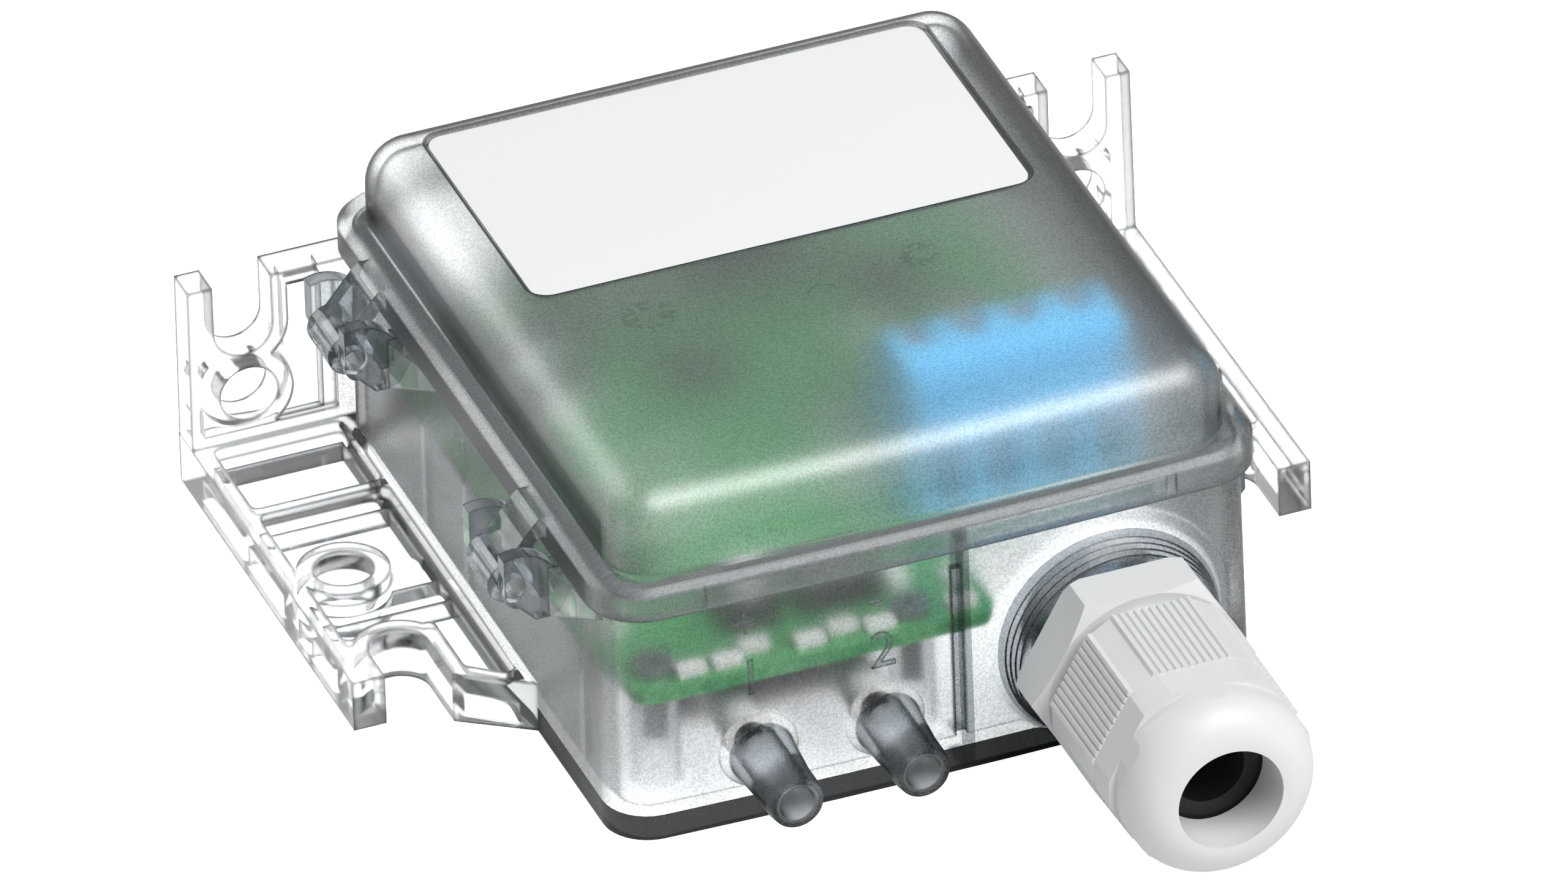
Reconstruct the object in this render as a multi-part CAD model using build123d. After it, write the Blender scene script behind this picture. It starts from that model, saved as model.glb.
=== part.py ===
from build123d import *
from math import cos, radians, sin
import os

os.makedirs("parts", exist_ok=True)

# A small clear wall box that measures a pressure difference between two hoses.
# Millimetres. X runs to the right, Y to the back, Z up, and the origin is the centre of the
# housing's underside. The hose spigots and the cable gland point to the front, along -Y.

# Housing tub
TUB_HALF = 36.3            # half width at the floor
TUB_BACK = 41.4
TUB_FRONT = -41.5
TUB_DRAFT = 0.6            # degrees that each wall leans in
BOW = 0.8                  # how far the front wall stands out at its middle
TUB_CORNER = 5.2
WALL = 2.3
FLOOR = 3.0
LIP_INSET = 0.8            # the lip inside the skirt stands this far in from the tub's side
LIP_HIGH = 1.6
RIB = 1.2
RIB_OUT = 1.0
RIB_TOP = 24.0
SIDE_RIB_Y = (TUB_BACK - 21.9, TUB_BACK - 34.3, TUB_FRONT + 14.2)
FRONT_RIB_X = 2.8

# Cable gland
GLAND_X = TUB_HALF - 17.7
GLAND_Z = 13.5
HEX_FLATS = 22.0
BOSS_R = HEX_FLATS / 2 + 0.7
BOSS_ROOT = 2.6            # how much wider the boss is where it leaves the wall
BOSS_LONG = 4.9
BOSS_RINGS = 4
BOSS_RING_PITCH = 0.92
THREAD_R = 8.0
SHANK_PLAY = 0.05
SHANK_IN = 3.1             # from the tub's front to the shank's end inside
WASHER = 0.8
WASHER_R = HEX_FLATS / 2 - 0.6
HEX_LONG = 6.7             # from the boss to the hexagon's front, washer included
COLLAR_R = HEX_FLATS / 2 - 1.3
COLLAR_LONG = 1.5
SPIGOT_R = 8.3
SPIGOT_LONG = 13.4
SPIGOT_BORE = 6.3
SHANK_BORE = 5.2
SEAL_SEAT = 9.0            # depth of the wide bore that holds the seal
SEAL_R = 6.2
SEAL_HEAD_R = 7.2
SEAL_HEAD = 2.4
SEAL_LONG = 10.0
CABLE_R = 4.0
NUT_GAP = 0.15             # between collar and nut
NUT_GRIP = 11.85           # ribbed length
NUT_BAND = 4.1             # smooth length in front of the ribs
NUT_NOSE = 6.0
NUT_FLATS = HEX_FLATS - 1.1
NUT_CORNER_R = NUT_FLATS / 2 + 0.9
NUT_DOME_R = NUT_FLATS / 2 + 0.25
NUT_NOSE_R = 4.4
NUT_PLAY = 0.3
NUT_SEAL_R = 7.5
NUT_SEAL_ROOM = 2.8
RIBS = 11
RIB_PITCH = 0.84
RIB_WIDE = 0.44
RIB_HIGH = 0.45
ENTRY_R = 5.9

# The tub's shoulder clears the boss
TUB_TOP = GLAND_Z + BOSS_R + BOSS_ROOT + 0.2
LIP_TOP = TUB_TOP + LIP_HIGH
BOSS_FACE_Y = TUB_FRONT - BOSS_LONG
SHANK_END_Y = TUB_FRONT + SHANK_IN
HEX_FRONT_Y = BOSS_FACE_Y - HEX_LONG
COLLAR_Y = HEX_FRONT_Y - COLLAR_LONG
SPIGOT_Y = COLLAR_Y - SPIGOT_LONG
NUT_BACK_Y = COLLAR_Y - NUT_GAP
NUT_RIB_Y = NUT_BACK_Y - NUT_GRIP
NUT_BAND_Y = NUT_RIB_Y - NUT_BAND
NUT_FRONT_Y = NUT_BAND_Y - NUT_NOSE

# Cover
SKIRT_OVER = 1.1           # the skirt stands this far out from the tub
SKIRT_GAP = 0.2
SKIRT_HIGH = 3.8
SKIRT_WALL = 1.6
SKIRT_EDGE = 0.7
LEDGE = 1.4                # thickness of the flat step between skirt and dome
DOME_IN = 2.7
DOME_HIGH = 9.8
DOME_ROUND = 5.2           # of its upright corners and its top edge alike
SHELL = 1.9
SKIRT_HALF = TUB_HALF + SKIRT_OVER
SKIRT_BACK = TUB_BACK + SKIRT_OVER
SKIRT_FRONT = TUB_FRONT - SKIRT_OVER
SKIRT_CORNER = TUB_CORNER + SKIRT_OVER
SKIRT_BOTTOM = TUB_TOP + SKIRT_GAP
SKIRT_TOP = SKIRT_BOTTOM + SKIRT_HIGH
DOME_HALF = SKIRT_HALF - DOME_IN
DOME_BACK = SKIRT_BACK - DOME_IN
DOME_FRONT = SKIRT_FRONT + DOME_IN
DOME_TOP = SKIRT_TOP + DOME_HIGH
KEY_X = 26.5               # small grooves inside the skirt's front
KEY_WIDE = 1.1
KEY_DEEP = 0.5

# Label in its recess
LABEL_X = 56.3
LABEL_Y = 33.5
LABEL_CORNER = 2.0
LABEL_GAP = 0.45           # bare border between label and recess edge
RECESS = 0.6
LABEL_THICK = 0.2
LABEL_AT_Y = DOME_BACK - 4.5 - LABEL_GAP - LABEL_Y / 2

# Hinges on the left side
HINGE_X = -SKIRT_HALF - 4.2
HINGE_Z = SKIRT_BOTTOM - 3.1
HINGE_Y = (TUB_BACK - 15.4, TUB_FRONT + 20.2)
HINGE_BAR_R = 1.25
HINGE_PLAY = 0.08
EAR = 1.8
EAR_PITCH = 10.3
EAR_ARCH = 4.8
EAR_WALL = 1.6             # from the bar's centre to the ear's outer side
EAR_OUT_X = HINGE_X - EAR_WALL
BRACKET_X = HINGE_X + 1.7
BRACKET_Z = HINGE_Z - 3.5
BRACKET_HIGH = 1.6
BRACE_LONG = 10.4
BRACE_OUT = 3.1
ARM_WIDE = 6.4
HOOK_R = 2.5
HOOK_MOUTH = 2.0
# X and Z from the bar's centre, down the outside of the arm and up its inside
ARM_OUTLINE = ((2.7, 6.1), (1.7, 4.9), (-0.4, 2.4), (0.4, 0.5), (2.4, 3.1), (3.4, 4.5))

# Snap tabs on the right side
TAB_INSET = 13.95
TAB_Y = (TUB_BACK - TAB_INSET, TUB_FRONT + TAB_INSET)
TAB_WIDE = 8.0
TAB_LONG = 9.2
TAB_THICK = 1.35
TAB_CLEAR = 0.2            # between tab and catch
CATCH_HIGH = 2.8
TAB_BOTTOM = SKIRT_BOTTOM - TAB_LONG
TAB_IN_X = TUB_HALF + 0.85
TAB_OUT_X = TAB_IN_X + TAB_THICK
CATCH_X = TAB_IN_X - TAB_CLEAR
CATCH_Z = TAB_BOTTOM + 1.6

# Mounting flanges: half of the mirror pair, on the right
PLATE_WIDE = 17.8
PLATE_H = 6.0
PLATE_FRONT = {1: -10.5, -1: -8.9}   # front end of the outer tongue on each side
PLATE_KNEE_Y = -11.45
PLATE_ROOT_Y = -17.4
PLATE_OUT = TUB_HALF + PLATE_WIDE
UPRIGHT_THICK = 4.05
UPRIGHT_Y1 = TUB_BACK + 1.95
UPRIGHT_Y0 = UPRIGHT_Y1 - UPRIGHT_THICK
UPRIGHT_TOP = TUB_TOP - 2.1
UPRIGHT_DRAFT = 0.25
HOLE_R = 3.25
SLOT_R = 3.3
BOTTOM_HOLE = (TUB_HALF + 10.9, 12.0)
SLOT_AT = (TUB_HALF + 10.8, -4.3)
NOTCH_AT = (TUB_HALF + 11.4, 20.0)    # X and Z of the notch's round end
BACK_HOLE = (TUB_HALF + 11.05, 11.6)  # X and Z
BOSS_WALL = 1.8            # material left round holes and slots
POCKET = 1.5
SKIN = 2.0
RIM = 2.1
POCKET_IN = TUB_HALF + 1.0
REAR_POCKET_Y = (26.3, UPRIGHT_Y0 - 0.6)
MAIN_POCKET_Y = (-1.1, 24.9)
CORE_WEBS = ((9.8, 14.3), (5.8, 6.8))  # Y of the webs between the cores below
PANEL_DEEP = 0.8
PANEL_Z = (7.4, UPRIGHT_TOP - 1.7)
BACK_POCKET = 1.95

# Hose spigots
PORT_LEFT = 15.6           # from the tub's left side to the first spigot
PORT_FROM_GLAND = 25.1     # from the gland's axis to the second
PORT_X = (PORT_LEFT - TUB_HALF, GLAND_X - PORT_FROM_GLAND)
PORT_Z = 8.8
PORT_BORE = 2.0
PORT_ROOT_R = 3.62
PORT_MID_R = 3.1
PORT_TIP_R = 2.88
PORT_LAND = 2.6            # straight stretch that the outer hose grips
PORT_NOSE = 1.2
PORT_TIP_Y = TUB_FRONT - 11.2
STUB_R = 1.5               # inner spigots that the short hoses slip over
STUB_BORE = 0.9
STUB_END_Y = TUB_FRONT + 6.0
HOSE_R = 2.5
HOSE_GRIP = 0.02

# Circuit board
BOARD_Z = 15.0
BOARD_T = 1.6
BOARD_TOP = BOARD_Z + BOARD_T
BOARD_CORNER = 2.2
BOARD_HALF = TUB_HALF - WALL - RIB_OUT - 0.3
BOARD_BACK = TUB_BACK - WALL - 1.7
BOARD_FRONT = TUB_FRONT + WALL + 1.5
BAY_X = GLAND_X - THREAD_R - 2.6      # the board stops here, beside the gland
BAY_Y = BOARD_FRONT + 17.5
POST_IN = 3.3
POST_X = BOARD_HALF - POST_IN
POSTS = (
    (-POST_X, BOARD_FRONT + 4.1),
    (BAY_X - 8.8, BOARD_FRONT + 3.5),
    (POST_X, BAY_Y + 16.2),
    (-POST_X, BOARD_BACK - 4.0),
    (POST_X, BOARD_BACK - 4.0),
)
POST_R = 2.4
SCREW_R = 1.1
SCREW_DEEP = 8.0           # how far a screw reaches below the board
SCREW_HEAD_R = 2.1
SCREW_HEAD = 1.3
CROSS = 0.5                # width of the driver's cross

# Pressure sensor below the board
SENSOR_STUB_Y = STUB_END_Y + 3.0
SENSOR_Y0 = SENSOR_STUB_Y + 5.5
SENSOR_LONG = 18.0
STUB_DRILL = 9.0           # from 1 mm before a port's mouth to the bore's end in the cell
SENSOR_SIDE = 4.0          # from a port's centre to the cell's side
SENSOR_Z0 = FLOOR + 1.6
SENSOR_Z1 = BOARD_Z - 2.0
SENSOR_NECK = 3.0          # inset of the raised part that meets the board

# Terminal block
POLES = 4
PITCH = 6.0
TERM_END = 0.2
TERM_DEEP = 11.0
TERM_HIGH = 16.4
TERM_CHAMFER = 2.4
TERM_X1 = BOARD_HALF - 2.1
TERM_X0 = TERM_X1 - POLES * PITCH - 2 * TERM_END
TERM_Y0 = BAY_Y + 1.2
TERM_Y1 = TERM_Y0 + TERM_DEEP
TERM_TOP = BOARD_TOP + TERM_HIGH
TERM_SCREW_Y = TERM_Y1 - 3.9
TERM_SCREW_R = 2.0
TERM_PLAY = 0.1
TERM_SCREW_TOP = TERM_TOP - 1.0
TERM_HEAD = 2.2
TERM_SHANK_R = 1.3
TERM_SLOT = 0.6
TERM_SLOT_DEEP = 0.9
CAGE_HALF = 2.1
CAGE_WALL = 0.6
CAGE_SINK = 1.6            # from the block's front and back to the cage
CAGE_Z0 = BOARD_TOP + 1.6
CAGE_TOP = CAGE_Z0 + 7.0
CAGE_ROOF = 1.4
SCREW_REACH = 3.4          # how far the screw enters the cage

# Small board pieces
CHIP_LIFT = 0.1
LEAD = 0.3
LEAD_OUT = 1.0
LEAD_HIGH = 0.4
CAN_BASE = 1.1             # black foot below each can capacitor
CAN_EDGE = 0.3
BIT_LONG = 3.2             # chip resistors and capacitors
BIT_WIDE = 1.8
BIT_HIGH = 1.0
SLIDERS = 3
SLIDER_PITCH = 2.54
SLIDER_WIDE = 1.2
SLIDER_LONG = 1.3
SLIDER_PLAY = 0.1
SLIDER_TRAVEL = 1.6
SLIDER_TOP = 4.0           # above the board
SWITCH_HIGH = 3.4
SWITCH_GROOVE = 1.2
SWITCH_DEEP = 6.0
ZERO_HALF = 3.0
ZERO_HIGH = 3.5
ZERO_WELL = 0.9
ZERO_R = 1.7
ZERO_PLAY = 0.1
ZERO_REST = 0.4            # free way below the button
ZERO_STEM = 3.0
TRIM_HALF = 3.2
TRIM_HIGH = 4.2
TRIM_WELL = 1.2
TRIM_R = 2.0
TRIM_PLAY = 0.1
TRIM_SLOT = 0.6
HEADER_PINS = 5
HEADER_PITCH = 2.54
HEADER_HIGH = 2.5
HEADER_WIDE = 2.6
HEADER_TOP = 8.5
PIN = 0.64
LED_SIZE = (2.0, 3.2, 1.6)


def block(x0, x1, y0, y1, z0, z1):
    """A plain box between two corners."""
    return Pos((x0 + x1) / 2, (y0 + y1) / 2, (z0 + z1) / 2) * Box(x1 - x0, y1 - y0, z1 - z0)


def rod(x, y, z, r, length, axis="z"):
    """A cylinder that starts at x, y, z and runs along +X, +Y or +Z."""
    turn = {"x": Rot(0, 90, 0), "y": Rot(-90, 0, 0), "z": Rot(0, 0, 0)}[axis]
    start = (Align.CENTER, Align.CENTER, Align.MIN)
    return Pos(x, y, z) * turn * Cylinder(r, length, align=start)


def plan(half, back, front, corner, z, bow=BOW):
    """A flat face: straight sides and back, a front that bows out by bow, round corners."""
    side = front + bow
    edges = Curve() + [
        Polyline((half, side), (half, back), (-half, back), (-half, side)),
        ThreePointArc((-half, side), (0, front), (half, side)),
    ]
    face = make_face(edges)
    return Pos(0, 0, z) * fillet(face.vertices(), corner)


def slab(half, back, front, corner, z0, z1, taper=0.0):
    """The plan above as a solid from z0 to z1."""
    return extrude(plan(half, back, front, corner, z0), z1 - z0, taper=taper)


def inset_slab(inset, z0, z1):
    """The tub's plan, smaller by inset all round."""
    return slab(TUB_HALF - inset, TUB_BACK - inset, TUB_FRONT + inset, TUB_CORNER - inset, z0, z1)


def side_prism(points, y0, y1):
    """A polygon of X and Z points carried along Y."""
    face = make_face(Polyline(*[(x, 0, z) for x, z in points], close=True))
    return Pos(0, y0, 0) * extrude(face, y1 - y0, dir=(0, 1, 0))


def floor_prism(points, z0, z1, corner=0.0):
    """A polygon of X and Y points carried upwards."""
    face = make_face(Polyline(*points, close=True))
    if corner:
        face = fillet(face.vertices(), corner)
    return Pos(0, 0, z0) * extrude(face, z1 - z0)


def turned(points, x, z):
    """A profile of radius and Y points turned about the Y line through x and z."""
    face = make_face(Polyline(*[(r, y) for r, y in points], close=True))
    return Pos(x, 0, z) * revolve(face, Axis.Y)


def mirrored(solid):
    return mirror(solid, Plane.YZ)


def save(solid, name, color):
    """Writes one node's solids to its own file."""
    shape = solid if isinstance(solid, list) else [solid]
    pieces = [s for piece in shape for s in piece.solids()]
    whole = pieces[0] if len(pieces) == 1 else Compound(children=pieces)
    whole.label = name
    whole.color = Color(*color)
    export_step(whole, f"parts/{name}.step")
    return whole


def flange_plate(side):
    """Flat foot on the right: open slot, hole, shallow pockets on top and cores below."""
    tongue = PLATE_FRONT[side]
    slot_in = SLOT_AT[0] - SLOT_R
    slot_out = SLOT_AT[0] + SLOT_R
    outline = [
        (TUB_HALF - 1.0, UPRIGHT_Y1),
        (PLATE_OUT, UPRIGHT_Y1),
        (PLATE_OUT, tongue),
        (slot_out, tongue),
        (slot_out, SLOT_AT[1]),
        (slot_in, SLOT_AT[1]),
        (slot_in, PLATE_KNEE_Y),
        (TUB_HALF - 1.0, PLATE_ROOT_Y),
    ]
    plate = floor_prism(outline, 0, PLATE_H)
    boss = rod(*BOTTOM_HOLE, 0, HOLE_R + BOSS_WALL, PLATE_H)
    slot_wall = rod(*SLOT_AT, 0, SLOT_R + BOSS_WALL, PLATE_H)
    edge = PLATE_OUT - RIM
    near = slot_in - BOSS_WALL
    rear = [
        (POCKET_IN, REAR_POCKET_Y[0]),
        (edge, REAR_POCKET_Y[0]),
        (edge, REAR_POCKET_Y[1]),
        (POCKET_IN, REAR_POCKET_Y[1]),
    ]
    main = [
        (POCKET_IN, MAIN_POCKET_Y[1]),
        (edge, MAIN_POCKET_Y[1]),
        (edge, MAIN_POCKET_Y[0]),
        (near, MAIN_POCKET_Y[0]),
        (near, PLATE_KNEE_Y + 1.05),
        (POCKET_IN, PLATE_ROOT_Y + 3.0),
    ]
    top = PLATE_H - POCKET
    deep = top - SKIN
    cut = floor_prism(rear, top, PLATE_H, 0.9) + floor_prism(main, top, PLATE_H, 0.9)
    cores = floor_prism(rear, 0, deep) + floor_prism(main, 0, deep)
    for y0, y1 in CORE_WEBS:
        cores -= block(POCKET_IN - 1, PLATE_OUT, y0, y1, 0, deep)
    plate -= (cut + cores) - boss - slot_wall
    plate -= rod(*BOTTOM_HOLE, -1, HOLE_R, PLATE_H + 2)
    plate -= rod(*SLOT_AT, -1, SLOT_R, PLATE_H + 2)
    return plate


def flange_upright():
    """Rear plate on the right: open notch, round hole, a sunk panel in front, a core behind."""
    root = TUB_HALF - 2.5
    outline = [(root, 0), (PLATE_OUT, 0), (PLATE_OUT - UPRIGHT_DRAFT, UPRIGHT_TOP), (root, UPRIGHT_TOP)]
    plate = side_prism(outline, UPRIGHT_Y0, UPRIGHT_Y1)
    nx, nz = NOTCH_AT
    hx, hz = BACK_HOLE
    notch_in = nx - SLOT_R
    low, high = PANEL_Z
    front = UPRIGHT_Y0 - 1
    panel = side_prism(
        [(POCKET_IN, low), (hx, low), (hx, high), (POCKET_IN, high)], front, UPRIGHT_Y0 + PANEL_DEEP
    )
    panel -= rod(hx, front, hz, HOLE_R + BOSS_WALL, 3, "y")
    panel -= rod(nx, front, nz, SLOT_R + BOSS_WALL, 3, "y")
    panel -= block(notch_in - BOSS_WALL, nx + 5, front, UPRIGHT_Y0 + 1, nz, UPRIGHT_TOP)
    behind = UPRIGHT_Y1 - BACK_POCKET
    core_in = POCKET_IN + 1
    core = block(core_in, PLATE_OUT - RIM, behind, UPRIGHT_Y1 + 1, RIM, hz + SLOT_R)
    core += block(core_in, notch_in - BOSS_WALL, behind, UPRIGHT_Y1 + 1, hz + 2, UPRIGHT_TOP - RIM)
    core -= rod(hx, behind, hz, HOLE_R + BOSS_WALL, BACK_POCKET + 1, "y")
    core -= rod(nx, behind, nz, SLOT_R + BOSS_WALL, BACK_POCKET + 1, "y")
    plate = plate - panel.solids().sort_by(Axis.X)[0] - core
    plate -= rod(hx, front, hz, HOLE_R, 6, "y")
    plate -= rod(nx, front, nz, SLOT_R, 6, "y")
    return plate - block(notch_in, nx + SLOT_R, front, UPRIGHT_Y1 + 1, nz, UPRIGHT_TOP + 1)


def spigot(x):
    """Tapered hose spigot outside, with a small one inside for the short hose."""
    wall_in = TUB_FRONT + WALL
    root = wall_in - 1.2
    outer = turned(
        [
            (0, root),
            (PORT_ROOT_R + 0.8, root),
            (PORT_ROOT_R + 0.8, TUB_FRONT - 0.1),
            (PORT_ROOT_R, TUB_FRONT - 0.9),
            (PORT_MID_R, PORT_TIP_Y + PORT_NOSE + PORT_LAND),
            (PORT_MID_R, PORT_TIP_Y + PORT_NOSE),
            (PORT_TIP_R, PORT_TIP_Y),
            (0, PORT_TIP_Y),
        ],
        x,
        PORT_Z,
    )
    inner = rod(x, wall_in - 0.5, PORT_Z, STUB_R, STUB_END_Y - wall_in + 0.5, "y")
    return outer + inner


def spigot_bore(x):
    """Air way through a spigot: wide outside, narrow inside."""
    step = TUB_FRONT + 0.8
    wide = rod(x, PORT_TIP_Y - 1, PORT_Z, PORT_BORE, step - PORT_TIP_Y + 1, "y")
    narrow = rod(x, step - 0.5, PORT_Z, STUB_BORE, STUB_END_Y - step + 1.5, "y")
    return wide + narrow


def gland_boss():
    """Round ringed boss on the front wall that takes the gland's thread."""
    inside = TUB_FRONT + WALL
    bore = THREAD_R - 1.5
    root = BOSS_R + BOSS_ROOT
    points = [
        (bore, inside),
        (root, inside),
        (root, TUB_FRONT + 0.5),
        (BOSS_R + 1.4, TUB_FRONT - 0.05),
        (BOSS_R + 0.5, TUB_FRONT - 1.1),
    ]
    y = TUB_FRONT - 1.1
    for ring in range(BOSS_RINGS):
        r = BOSS_R + 0.42 - 0.2 * ring
        points += [(r - 0.38, y - 0.25), (r, y - 0.5)]
        y -= BOSS_RING_PITCH
    points += [(BOSS_R - 0.4, BOSS_FACE_Y), (bore, BOSS_FACE_Y)]
    boss = turned(points, GLAND_X, GLAND_Z)
    return boss - block(GLAND_X - root, GLAND_X + root, BOSS_FACE_Y, inside + 1, GLAND_Z - root - 1, 0)


def hinge_ears(y):
    """Two ears, the bar between them, and the bracket below that ties them to the wall."""
    wall_x = 1.0 - TUB_HALF
    half = EAR_PITCH / 2
    top = TUB_TOP - 0.2
    ears = None
    for centre in (y - half, y + half):
        y0 = centre - EAR / 2
        arch = rod(HINGE_X, y0, HINGE_Z, EAR_ARCH, EAR, "y")
        arch &= block(EAR_OUT_X, HINGE_X + EAR_ARCH, y0, y0 + EAR, HINGE_Z, HINGE_Z + EAR_ARCH)
        outline = [
            (EAR_OUT_X, HINGE_Z + 1.2),
            (EAR_OUT_X + 0.1, HINGE_Z - 0.6),
            (HINGE_X, HINGE_Z - 1.7),
            (BRACKET_X, BRACKET_Z),
            (wall_x, BRACKET_Z),
            (wall_x, top),
            (HINGE_X, top),
        ]
        ear = arch + side_prism(outline, y0, y0 + EAR) + rod(HINGE_X, y0, HINGE_Z, EAR_WALL, EAR, "y")
        ears = ear if ears is None else ears + ear
    bar = rod(HINGE_X, y - half, HINGE_Z, HINGE_BAR_R, EAR_PITCH, "y")
    floor = block(BRACKET_X + 1.2, wall_x, y - half, y + half, BRACKET_Z, BRACKET_Z + BRACKET_HIGH)
    tip = y - half - EAR / 2
    tail = tip - BRACE_LONG
    corners = [(wall_x, tip + 0.2), (wall_x - BRACE_OUT, tip + 0.2), (wall_x - 0.9, tail)]
    brace = floor_prism(corners, BRACKET_Z, TUB_TOP - 0.4)
    below = Polyline(
        (EAR_OUT_X, tip + 1, BRACKET_Z - 2),
        (EAR_OUT_X, tip, BRACKET_Z),
        (EAR_OUT_X, tail - 0.6, TUB_TOP - 0.8),
        (EAR_OUT_X, tail - 0.6, BRACKET_Z - 2),
        close=True,
    )
    brace -= extrude(make_face(below), wall_x - EAR_OUT_X + 1, dir=(1, 0, 0))
    return ears + bar + floor + brace


def base_housing():
    """Tub, flanges, spigots, gland boss, hinge ears, catches and posts, moulded as one."""
    tub = slab(TUB_HALF, TUB_BACK, TUB_FRONT, TUB_CORNER, 0, TUB_TOP, TUB_DRAFT)
    body = tub + inset_slab(LIP_INSET, TUB_TOP - 1.0, LIP_TOP)
    for side in (1, -1):
        foot = flange_plate(side) + flange_upright()
        body += foot if side == 1 else mirrored(foot)
    body += gland_boss()
    for y in HINGE_Y:
        body += hinge_ears(y)
    for y in TAB_Y:
        catch = [(TUB_HALF - 1, CATCH_Z), (CATCH_X, CATCH_Z), (TUB_HALF - 0.6, CATCH_Z + CATCH_HIGH)]
        body += side_prism(catch, y - TAB_WIDE / 2 + 1.2, y + TAB_WIDE / 2 - 1.2)
    body -= inset_slab(WALL, FLOOR, LIP_TOP + 1)
    root = FLOOR - 0.5
    for x in PORT_X:
        body += spigot(x)
    for x, y in POSTS:
        body += rod(x, y, root, POST_R, BOARD_Z - root)
    wall_x = WALL - TUB_HALF
    for y in SIDE_RIB_Y:
        body += block(wall_x - 0.6, wall_x + RIB_OUT, y - RIB / 2, y + RIB / 2, root, RIB_TOP)
    wall_y = TUB_FRONT + WALL
    x = FRONT_RIB_X
    body += block(x - RIB / 2, x + RIB / 2, wall_y - 0.6, wall_y + RIB_OUT, root, RIB_TOP)
    for x in PORT_X:
        body -= spigot_bore(x)
    for x, y in POSTS:
        body -= rod(x, y, BOARD_TOP - SCREW_DEEP - 2, SCREW_R + SHANK_PLAY, SCREW_DEEP + 2)
    return body - rod(GLAND_X, BOSS_FACE_Y - 1, GLAND_Z, THREAD_R, BOSS_LONG + WALL + 2, "y")


def dome(inset, z0, z1):
    """The raised part of the cover, smaller by inset at its sides and rounds."""
    corner = DOME_ROUND - inset
    body = slab(DOME_HALF - inset, DOME_BACK - inset, DOME_FRONT + inset, corner, z0, z1)
    return fillet(body.faces().sort_by(Axis.Z)[-1].edges(), corner)


def hinge_arm(y):
    """Arm from the rim that ends in an open hook round the hinge bar."""
    y0 = y - ARM_WIDE / 2
    root = 1.5 - SKIRT_HALF
    outline = [(root, SKIRT_TOP), (-SKIRT_HALF - 0.7, SKIRT_TOP)]
    outline += [(HINGE_X + dx, HINGE_Z + dz) for dx, dz in ARM_OUTLINE]
    arm = side_prism(outline + [(root, SKIRT_TOP - 2.2)], y0, y0 + ARM_WIDE)
    arm += rod(HINGE_X, y0, HINGE_Z, HOOK_R, ARM_WIDE, "y")
    arm -= rod(HINGE_X, y0 - 1, HINGE_Z, HINGE_BAR_R + HINGE_PLAY, ARM_WIDE + 2, "y")
    reach = HOOK_R + 0.5
    mouth = Pos(reach, 0, 0) * Box(2 * reach, ARM_WIDE + 2, HOOK_MOUTH)
    return arm - Pos(HINGE_X, y, HINGE_Z) * Rot(0, 40, 0) * mouth


def cover():
    """Clear lid: skirt, step and dome, with the label's recess, hinge hooks and snap tabs."""
    skirt = slab(SKIRT_HALF, SKIRT_BACK, SKIRT_FRONT, SKIRT_CORNER, SKIRT_BOTTOM, SKIRT_TOP)
    skirt = chamfer(skirt.faces().sort_by(Axis.Z)[-1].edges(), SKIRT_EDGE)
    body = skirt + dome(0, SKIRT_TOP - 1.0, DOME_TOP)
    for y in HINGE_Y:
        body += hinge_arm(y)
    tab = [
        (SKIRT_HALF - 1, SKIRT_TOP - 1.0),
        (SKIRT_HALF + 0.3, SKIRT_TOP - 1.2),
        (TAB_OUT_X, SKIRT_BOTTOM),
        (TAB_OUT_X, TAB_BOTTOM + 0.6),
        (TAB_OUT_X - 0.5, TAB_BOTTOM),
        (TAB_IN_X, TAB_BOTTOM),
        (TAB_IN_X, SKIRT_BOTTOM + 0.2),
        (SKIRT_HALF - 1, SKIRT_BOTTOM + 0.2),
    ]
    for y in TAB_Y:
        body += side_prism(tab, y - TAB_WIDE / 2, y + TAB_WIDE / 2)
    body -= slab(
        SKIRT_HALF - SKIRT_WALL,
        SKIRT_BACK - SKIRT_WALL,
        SKIRT_FRONT + SKIRT_WALL,
        SKIRT_CORNER - SKIRT_WALL,
        SKIRT_BOTTOM - 1,
        SKIRT_TOP - LEDGE,
    )
    body -= dome(SHELL, SKIRT_BOTTOM - 1, DOME_TOP - SHELL)
    inner = SKIRT_FRONT + SKIRT_WALL
    for x in (-KEY_X, KEY_X):
        half = KEY_WIDE / 2
        body -= block(x - half, x + half, inner - KEY_DEEP, inner + 1.5, SKIRT_BOTTOM - 1, SKIRT_TOP - LEDGE)
    recess = RectangleRounded(
        LABEL_X + 2 * LABEL_GAP, LABEL_Y + 2 * LABEL_GAP, LABEL_CORNER + LABEL_GAP
    )
    return body - Pos(0, LABEL_AT_Y, DOME_TOP - RECESS) * extrude(recess, 2)


def label():
    plate = extrude(RectangleRounded(LABEL_X, LABEL_Y, LABEL_CORNER), LABEL_THICK)
    return Pos(0, LABEL_AT_Y, DOME_TOP - RECESS) * plate


def cover_gasket():
    """Soft ring that lies on the housing's lip and meets the cover's step."""
    ring = inset_slab(LIP_INSET + 0.25, LIP_TOP, SKIRT_TOP - LEDGE)
    return ring - inset_slab(WALL - 0.15, LIP_TOP - 1, SKIRT_TOP)


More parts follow.
